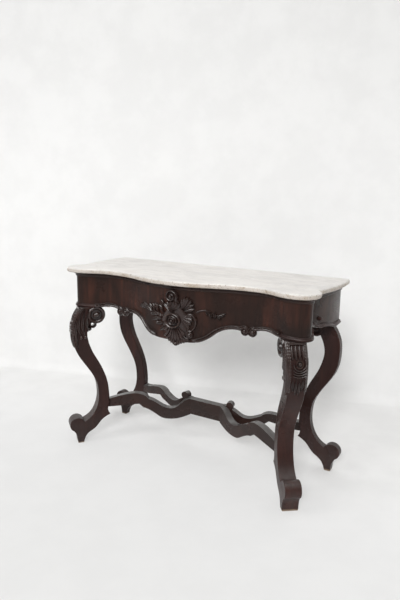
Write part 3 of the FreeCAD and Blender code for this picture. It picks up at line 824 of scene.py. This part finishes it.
for hand, word in sides:
    makeScroll("inner", hand, word)
    makeScroll("outer", hand, word)
    cornerRun, run = faceRun(frontMarks[-1][0]), endRun(0.005)
    if hand < 0:
        cornerRun, run = flipped(cornerRun), flipped(run)
    makeStrip(word + "CornerBead", "front_" + word + "_corner_bead", cornerRun, bead["section"],
              lambda p: plan["legTop"], "legMahogany")
    makeStrip(word + "EndBead", word + "_end_bead", run, bead["section"],
              lambda p: edgeHeight(endMarks, endKinds, p.y - lobeY), "legMahogany", endBall(hand))
print("lower edge beaded")


# a carving planted on the apron
def plant(name, replaced, **work):
    bm = bmesh.new()
    carve(bm, apronSpot, **work)
    makePiece(bm, name, replaced)


# leaves of (half width, height, rise of the bed) along shares of the way from one eye to their tips
def fan(shape, span, eye, size, tips):
    heart, shares = Vector(mm(eye)), (span[0], sum(span) / 2, span[1])
    return shape, [([heart.lerp(Vector(tip), share) for share in shares], *mm(size)) for tip in mm(tips)]


# round buds of an eye, a radius and a height
def buds(turn, shares, steps, sizes):
    return [(eye, [(radius * share, high * cos(share * turn)) for share in shares], steps)
            for eye, radius, high in mm(sizes)]


# carving at the middle of the front, places as x and z on the apron's face
ballEye, roseEye, crestEye = mm(((83, 636), (6, 688.5), (-3, 789.5)))
cartouche = {
    "leaves": [
        ({"fat": 0.85, "deep": 0.0, "cols": 18, "rows": 34},
         mm([([(10, 782), (12, 735), (14, 670), (20, 592)], 66, 8, 1)])),
        fan({"fat": 1.5, "deep": 0.0, "tip": 0.3}, (0.3, 1.0), (18, 684), (7.8, 9, 6.5), [
            (-40, 640), (-30, 622), (-14, 611), (3, 604), (20, 601), (36, 604), (52, 612), (64, 624)]),
        fan({"fat": 1.7, "deep": 0.0, "tip": 0.34, "rows": 16}, (0.55, 1.06), (20, 655), (7, 8, 5), [
            (-37, 617), (-26, 607), (-14, 599), (-3, 593), (8, 588), (32, 590), (44, 596), (56, 600), (67, 604),
            (78, 611)]),
        fan({"fat": 1.3, "deep": 0.25}, (0.1, 1.0), (4, 716), (7.8, 9.5, 7), [
            (-37, 756), (-22, 766), (-6, 771), (10, 772), (26, 770), (42, 765)]),
        fan({"fat": 1.6, "deep": 0.0, "tip": 0.26, "rows": 20, "curl": mm(4)}, (0.1, 1.0), (50, 730),
            (8.8, 10.5, 3), [(46, 783), (60, 793), (75, 792), (89, 781), (99, 765), (102, 746)]),
        fan({"fat": 1.4, "deep": 0.0, "tip": 0.26}, (0.2, 1.0), (36, 712), (7.5, 5.5, 4.5), [
            (92, 712), (95, 694), (89, 676), (80, 659), (68, 645)])],
    "bands": [(
        [*mm([(64, 706), (71, 718), (84, 722.5), (98, 716), (107, 699), (106.5, 681), (100, 666), (91, 655)]),
         *spiralPath(ballEye, 70.0, 1.35, *mm((16.5, 6)), 16)],
        130, mm((6.6, 19.5)), {"taper": (0.75, 0.72), "tongue": 0.08})],
    "bosses": [
        *buds(1.35, (0.2, 0.4, 0.6, 0.78, 0.92, 1.0), 22, [
            ((67, 777), 8.5, 16), ((86, 757), 10.5, 17.5), ((50, 768), 6.5, 15)]),
        (mm((20, 590)), mm([(3, 18.5), (6, 16.5), (8.5, 11.5), (9.5, 4.5)]), 18),
        (ballEye, mm([(3, 22.5), (6, 20.5), (8.5, 15.5), (9.5, 7.5)]), 20)],
}
plant("cartoucheCarving", "cartouche", **cartouche)

roseStretch = (1.06, 0.92)
roseSpiral = [[middle + (place - middle) * share for middle, place, share in zip(roseEye, spot, roseStretch)]
              for spot in spiralPath(roseEye, 150.0, -1.55, *mm((24, 8.5)), 24)]
rosette = {
    "bands": [(roseSpiral, 120, mm((4, 23.5)), {"taper": (1.0, 0.95), "tongue": 0.1})],
    "bosses": [
        (roseEye, mm([(4, 8), (21.5, 7), (25.8, 12), (28.6, 20.5), (31.3, 22.5), (33.8, 20), (35.1, 13),
                      (35.5, 5)]), 44, roseStretch),
        (roseEye, mm([(2.2, 28), (4.2, 26.5), (5.7, 22.5), (6.1, 15)]), 18)],
}
plant("rosetteCarving", "rosette", **rosette)

crest = {
    "bands": [([mm((36, 762)), *spiralPath(crestEye, -22.0, 1.45, *mm((30, 8)), 26)], 130, mm((5, 21)),
               {"taper": (0.95, 0.85), "tongue": 0.08})],
    "bosses": [(crestEye, mm([(6, 8.5), (18, 7.5), (24, 3)]), 26),
               (crestEye, mm([(2.5, 23.5), (5, 21.5), (6.8, 16.5), (7.2, 8)]), 18)],
}
plant("crestVolute", "crest_volute", **crest)

# each leaf: rib, half width, height
sprayShape = {"low": mm(1), "deep": 0.3, "fat": 0.95, "cols": 10, "rows": 28}
spray = {
    "leaves": [
        (sprayShape, mm([
            ([(-34, 741), (-47, 757), (-59, 772)], 7, 12), ([(-40, 714), (-54, 732), (-67, 750)], 8.2, 13.5),
            ([(-70, 711), (-79, 731), (-88, 752)], 8.2, 12.5), ([(-91, 712), (-98, 729), (-106, 748)], 7.5, 11),
            ([(-110, 713), (-118, 727), (-128, 743)], 7, 9), ([(-36, 674), (-58, 668), (-86, 662)], 9.5, 12),
            ([(-26, 660), (-44, 651), (-64, 634)], 9, 13)])),
        ({"lobes": 3, **sprayShape}, mm([
            ([(-104, 708), (-145, 722), (-176, 725), (-204, 715)], 16.5, 8),
            ([(-46, 702), (-84, 704), (-124, 694)], 10, 8.5),
            ([(-44, 689), (-80, 684), (-114, 674)], 11, 9)]))],
    "bosses": buds(1.2, (0.25, 0.5, 0.75, 0.93, 1.0), 18, [
        ((-79, 665.5), 8, 13.5), ((-112, 700), 5.5, 13.5), ((-59, 699), 6.5, 13.5)]),
}
plant("leafSprayCarving", "left_leaf_spray", **spray)

sprig = {
    "leaves": [({"fat": 0.8, "deep": 0.45}, mm([(rib, 8.5, 11, 1) for rib in (
        [(160, 744), (164, 727), (168, 707)], [(180, 740), (181, 725), (179, 708)],
        [(188, 721), (204, 724), (224, 735)], [(188, 720), (196, 715), (204, 707)],
        [(146, 743), (152, 735), (155, 722)])]))],
    "bands": [(mm([(106, 731), (122, 738), (140, 742), (160, 736), (182, 724), (196, 722)]), 40, mm((3.4, 6)),
               {"taper": (1.1, 0.6)})],
}
plant("leafSprigCarving", "right_leaf_sprig", **sprig)
print("front carving done")

# carved knees: s runs out along the leg, z up, t across the edge
edgePoints = smoothPath(mm([(-20, 674), (2, 640.3), (18.8, 599.9), (23, 550), (19.2, 500.1), (3, 450.2)]), 100)
edgeFacing = [sideways(edgePoints, place) for place in range(len(edgePoints))]
edgeFacing = [side * copysign(1.0, side.x) for side in edgeFacing]
borderPoints = edgePoints[0:87:4]
beaded = {"taper": (1.0, 0.8), "beads": 15}
voluteEye, bossEye, arcReach = mm(((-88, 637), (5, 599), 24.5))


def setBack(back):
    return [(point.x - mm(back), point.y) for point in borderPoints]


def bossArc(radius):
    swing = asin(min(1.0, arcReach / radius))
    turns = [-pi / 2 + swing * n / 6 for n in range(-6, 7)]
    return [(bossEye[0] + radius * cos(turn), bossEye[1] + radius * sin(turn)) for turn in turns]


kneeSide = {
    "leaves": [({"fat": 0.9, "cols": 10, "rows": 28}, mm([  # rib, half width, height
        ([(-52, 670), (-45, 632), (-41, 592), (-48, 556)], 8, 10),
        ([(-37, 672), (-26, 632), (-22, 582), (-32, 530)], 8.8, 10),
        ([(-20, 668), (-7, 626), (-3, 578), (-15, 528)], 8.6, 10),
        ([(-2, 634), (8, 600), (10, 546), (-1, 474)], 7.8, 10)]))],
    "bands": [(setBack(9.5), 160, mm((3, 9.5)), {"taper": (1.0, 0.7)}),
              (setBack(3), 160, mm((3.2, 5)), beaded)],
    "bosses": [
        (voluteEye, mm([(16.5, 1.6), (23.5, 1.8), (27.5, 6), (31.8, 9.8), (36.5, 10.2), (40.8, 6.6),
                        (42.5, 0)]), 40),
        (voluteEye, mm([(4.5, 17.5), (9.5, 15.5), (13.5, 11), (16, 5), (16.5, 0)]), 24, (1.15, 0.85), -30.0),
        *((drop, mm([(3, 10), (6, 8.2), (7.6, 4.2), (8, 0)]), 16, (0.95, 1.3), 20.0)
          for drop in mm([(-32.5, 531), (-14, 530)]))],
}
kneeEdge = {
    "leaves": [
        ({"fat": 1.0, "deep": 0.0, "tip": 0.14},
         mm([([(t, 667), (t, 641), (t * 0.92, 613)], 7.2, 8.5) for t in (-22.5, -7.5, 7.5, 22.5)])),
        ({"fat": 0.8, "deep": 0.3},
         mm([([(t, top), (t, (top + foot) / 2), (t * 0.85, foot)], 6.2, 6.5) for t, top, foot in (
             (-19, 548, 494), (-6.5, 546, 478), (6.5, 546, 478), (19, 548, 494))]))],
    "bands": [
        (mm([(-30, 665.5), (0, 666.5), (30, 665.5)]), 24, mm((4.2, 10.5)), {}),
        *((bossArc(radius), 36, mm((2.8, 10)), {}) for radius in mm((22.5, 31, 39.5, 48))),
        *(([(t, point.y) for point in borderPoints], 160, mm((3.6, 6.5)), beaded) for t in mm((-29, 29)))],
    "bosses": [(bossEye, mm([(3, 13.2), (6, 11.2), (7.8, 4), (9.2, 4.2), (11.2, 9), (13.8, 8.8), (15.4, 4.2),
                             (15.8, 0)]), 28)],
}
kneeRing = mm({"eye": (-73.5, 587.5), "radius": 13.8, "thin": 6.4, "wide": 25})
kneeBall = mm({"eye": (-58.5, 564.5), "radius": 11.2})


# the knee's outer edge at z: the point and the way it faces
def edgeAt(z):
    first = sum(point.y > z for point in edgePoints[1:-1])
    upper, lower = edgePoints[first].y, edgePoints[first + 1].y
    share = max(0.0, min(1.0, (upper - z) / (upper - lower)))
    return [line[first].lerp(line[first + 1], share) for line in (edgePoints, edgeFacing)]


def turnRing():
    part = bmesh.new()
    ops.create_circle(part, cap_ends=True, radius=1.0, segments=14)
    for vert in part.verts:
        vert.co = (kneeRing["radius"] + vert.co.x * kneeRing["thin"], vert.co.y * kneeRing["wide"], 0.0)
    spinRound(part, part.faces[:], (0, 1, 0), 30)
    caps = [face for face in part.faces if len(face.verts) > 4]
    ops.delete(part, geom=caps, context="FACES_ONLY")
    return part, kneeRing["eye"]


def turnBall(stretch=1.8):
    part = bmesh.new()
    ops.create_uvsphere(part, u_segments=18, v_segments=12, radius=kneeBall["radius"])
    ops.scale(part, verts=part.verts, vec=(1.0, stretch, 1.0))
    return part, kneeBall["eye"]


def makeKnee(hand, word):
    foot, along, across = legAxes(legs["front"], hand)
    half = legs["front"]["thick"] / 2
    bm = bmesh.new()

    def place(s, t, z):
        return foot + along * s + across * t + upward * z

    def onEdge(t, z, out):
        point, facing = edgeAt(z)
        flat = point + facing * out
        return place(flat.x, t, flat.y)

    for side in (1.0, -1.0):
        carve(bm, lambda s, z, out: place(s, side * (half + out), z), **kneeSide)
    carve(bm, onEdge, **kneeEdge)
    for part, eye in (turnRing(), turnBall()):
        for vert in part.verts:
            vert.co = place(eye[0] + vert.co.x, vert.co.y, eye[1] + vert.co.z)
        mergeInto(bm, part)
    makePiece(bm, word + "KneeCarving", "front_" + word + "_knee_leaf")


for hand, word in sides:
    makeKnee(hand, word)
print("knees carved")

# the hidden woodwork keeps its solids
for name, solid in nodes.items():
    if name.endswith(("_block", "_bearer", "_blocks", "_dowels", "_screws")):
        solid.data.materials.clear()
        solid.data.materials.append(looks["oldSteel" if name == "block_screws" else "bareDeal"])

# marble slab: the solid's outline with a rounded edge that is chipped and worn, its back left straight
slab = {
    **mm({"round": 9, "step": 3.5, "straightBack": 251.5, "backRound": 0.6, "wear": 0.9, "chip": 7.5}),
    "wearScale": 55.0, "chipScale": 130.0, "chipFrom": 0.3, "chipFlat": 0.35,
}


def slabOutline():
    bm = solidCopy("marble_top")
    crossCut(bm, upward * ((plan["marbleFoot"] + plan["marbleTop"]) / 2), upward, 1e-4)
    vert = bm.verts[:][0]
    edge = vert.link_edges[0]
    loop = []
    for _ in range(len(bm.verts)):
        loop.append(vert.co.to_2d())
        vert = edge.other_vert(vert)
        edge = next(item for item in vert.link_edges if item is not edge)
    bm.free()
    # even steps along the loop
    spans = [(after - point).length for point, after in zip(loop, loop[1:] + loop[:1])]
    count = int(sum(spans) / slab["step"])
    even, place, reached = [], 0, 0.0
    for n in range(count):
        want = sum(spans) * n / count
        while reached + spans[place] < want:
            reached += spans[place]
            place += 1
        even.append(loop[place].lerp(loop[(place + 1) % len(loop)], (want - reached) / spans[place]))
    return even


def edgeDepth(point, z, share):
    if point.y > slab["straightBack"]:
        return slab["backRound"] * share
    spot = Vector((point.x, point.y, z))
    worn = slab["wear"] * (0.5 + noise.noise(spot * slab["wearScale"]))
    chipped = max(0.0, noise.noise(spot * slab["chipScale"]) - slab["chipFrom"]) * (slab["chipFlat"] + share)
    return slab["round"] * share + worn + slab["chip"] * chipped


def makeSlab():
    outline = slabOutline()
    count = len(outline)
    turning = sum(outline[n - 1].x * outline[n].y - outline[n].x * outline[n - 1].y for n in range(count))
    inward = []
    for n in range(count):
        ahead = (outline[(n + 1) % count] - outline[n - 1]) * copysign(1.0, turning)
        inward.append(ahead.orthogonal().normalized())
    turns = [pi / 2 * n / 5 for n in range(6)]
    levels = [(1 - sin(turn), plan["marbleFoot"] + slab["round"] * (1 - cos(turn))) for turn in turns]
    levels += [(share, plan["marbleFoot"] + plan["marbleTop"] - z) for share, z in reversed(levels)]
    rings = []
    for share, z in levels:
        flat = [point + side * edgeDepth(point, z, share) for point, side in zip(outline, inward)]
        rings.append([spot.to_3d() + upward * z for spot in flat])
    bm = bmesh.new()
    mergeInto(bm, sweepRings(rings))
    makePiece(bm, "marbleSlab", "marble_top", "agedMarble", "top", 50.0)


makeSlab()
print("slab laid")

# studio: a pale paper sweep, soft lamps and a pale sky; pairs are where a change along y or z starts and stops
studio = {
    "floorFront": -5.5, "wall": 0.903, "half": 6.0, "wallTop": 5.0, "bend": 0.06, "turn": 17.4,
    "paper": (0.815, 0.815, 0.81), "scuffed": (0.775, 0.775, 0.77), "scuffs": ((5.0, 5.0, 0.6), (0.35, 0.65)),
    "rough": 0.9, "specular": 0.1, "floorTone": (0.9, 0.9, 0.9), "nearShade": (0.7, 0.7, 0.695),
    "nearY": (0.6, -1.4), "wallTone": (0.94, 0.94, 0.94), "wallZ": (0.0, 0.06), "highShade": (0.25, 0.25, 0.25),
    "highZ": (0.9, 2.4), "glow": (-0.3, 0.4, 0.58, 0.2),  # glow: how much of that tone the camera sees
    "mirrored": (0.6, 0.6, 0.61), "dimY": (0.3, -0.7), "aim": (0.0, 0.0, 0.5),
}
# name, place, size, power, seen in gloss, lights dull surfaces
lamps = [
    ("keyLight", (-1.9, -2.5, 2.9), 1.0, 28.0, True, True),
    ("topLight", (0.3, 0.2, 3.4), 2.6, 6.0, True, True),
    ("frontLight", (2.2, -6.3, 4.0), 1.8, 365.0, False, True),
    ("sheenLight", (0.1, -1.4, 3.1), 2.2, 75.0, True, False),
]
sky = {
    "colour": (1.0, 0.985, 0.965), "low": 0.15, "top": (0.1, 0.85, 0.0, 0.56), "back": (-0.2, 0.8, 0.0, 0.34),
    "seen": 0.92,
}


def makePaper():
    material, shader = newMaterial("palePaper")
    place = addNode("TexCoord")["Object"]
    spot = addNode("SeparateXYZ", {0: place})
    path = addNode("LightPath")
    feed(shader, {
        "Base Color": mixed(patchy(place, *studio["scuffs"]), studio["paper"], studio["scuffed"]),
        "Roughness": studio["rough"], "Specular IOR Level": studio["specular"],
    })

    def shared(share, first, second):
        return addNode("MixShader", {0: share, 1: first, 2: second})[0]

    # the camera sees part of the paper as a painted glow that keeps it pale: painted shade darkens the floor
    # towards the front and the wall high up, and the glow, stronger on the front floor than near the wall,
    # lifts the shadows there
    floor = mixed(spread(spot["Y"], *studio["nearY"]), studio["floorTone"], studio["nearShade"])
    rising = mixed(spread(spot["Z"], *studio["wallZ"]), floor, studio["wallTone"])
    tone = mixed(spread(spot["Z"], *studio["highZ"]), rising, studio["highShade"])
    glow = addNode("Emission", {"Color": tone})[0]
    glowing = times(path["Is Camera Ray"], spread(spot["Y"], *studio["glow"]))
    lit = shared(glowing, shader.outputs[0], glow)
    # the wall is clear from behind, so that it hides nothing
    sided = shared(addNode("NewGeometry")["Backfacing"], lit, addNode("BsdfTransparent")[0])
    # a dull mirror image in the lacquer
    dim = addNode("Emission", {"Color": studio["mirrored"]})[0]
    ahead = spread(spot["Y"], *studio["dimY"])
    feed(bench["tree"].nodes["Material Output"], {
        "Surface": shared(times(path["Is Glossy Ray"], ahead), sided, dim)})
    return material


def makeSweep():
    bm = bmesh.new()
    spots = [(studio["floorFront"], 0.0), (studio["wall"], 0.0), (studio["wall"], studio["wallTop"])]
    verts = [bm.verts.new((-studio["half"], y, z)) for y, z in spots]
    edges = [bm.edges.new(pair) for pair in zip(verts, verts[1:])]
    moved = newVerts(ops.extrude_edge_only(bm, edges=edges))
    ops.translate(bm, verts=moved, vec=(2 * studio["half"], 0.0, 0.0))
    roundEdges(bm, [edge for edge in bm.edges if len(edge.link_faces) == 2], studio["bend"], 16)
    bm.normal_update()
    if max(bm.faces, key=lambda face: face.calc_area()).normal.z < 0:
        ops.reverse_faces(bm, faces=bm.faces)
    turn = Matrix.Rotation(radians(studio["turn"]), 3, "Z")
    ops.rotate(bm, verts=bm.verts, cent=(0.0, 0.0, 0.0), matrix=turn)
    addObject(bm, "studioSweep", makePaper())


def makeLamps():
    for name, place, size, power, gloss, fill in lamps:
        light = bpy.data.lights.new(name, "AREA")
        light.energy = power
        light.size = size
        holder = bpy.data.objects.new(name, light)
        holder.location = place
        holder.visible_glossy = gloss
        holder.visible_diffuse = fill
        holder.rotation_euler = (Vector(studio["aim"]) - Vector(place)).to_track_quat("-Z", "Y").to_euler()
        scene.collection.objects.link(holder)


def makeSky():
    world = bpy.data.worlds.new("studioSky")
    world.use_nodes = True
    tree = bench["tree"] = world.node_tree
    way = addNode("SeparateXYZ", {0: addNode("TexCoord")["Generated"]})
    above, behind = spread(way["Z"], *sky["top"]), spread(way["Y"], *sky["back"])
    level = plus(plus(above, behind), sky["low"])
    values = {0: addNode("LightPath")["Is Camera Ray"], 2: level, 3: sky["seen"]}
    shown = addNode("Mix", values, data_type="FLOAT")[0]
    feed(tree.nodes["Background"], {"Color": sky["colour"], "Strength": shown})
    scene.world = world


makeSweep()
makeLamps()
makeSky()
print("studio lit")

# the camera stands where the photograph was taken from
photoView = {
    "target": (0.0022, 0.016, 0.7375), "turn": 31.2319, "rise": 11.5442, "roll": 0.8353, "far": 2.46034,
    "lens": 32.903, "sensor": 36.0,
}


def makeCamera():
    data = bpy.data.cameras.new("photoCamera")
    data.sensor_width = photoView["sensor"]
    data.lens = photoView["lens"]
    camera = bpy.data.objects.new("photoCamera", data)
    stand = Matrix.Translation(photoView["target"])
    for turn, axis in ((photoView["turn"], "Z"), (90.0 - photoView["rise"], "X"), (photoView["roll"], "Z")):
        stand = stand @ Matrix.Rotation(radians(turn), 4, axis)
    camera.matrix_world = stand @ Matrix.Translation(upward * photoView["far"])
    scene.collection.objects.link(camera)
    scene.camera = camera


makeCamera()
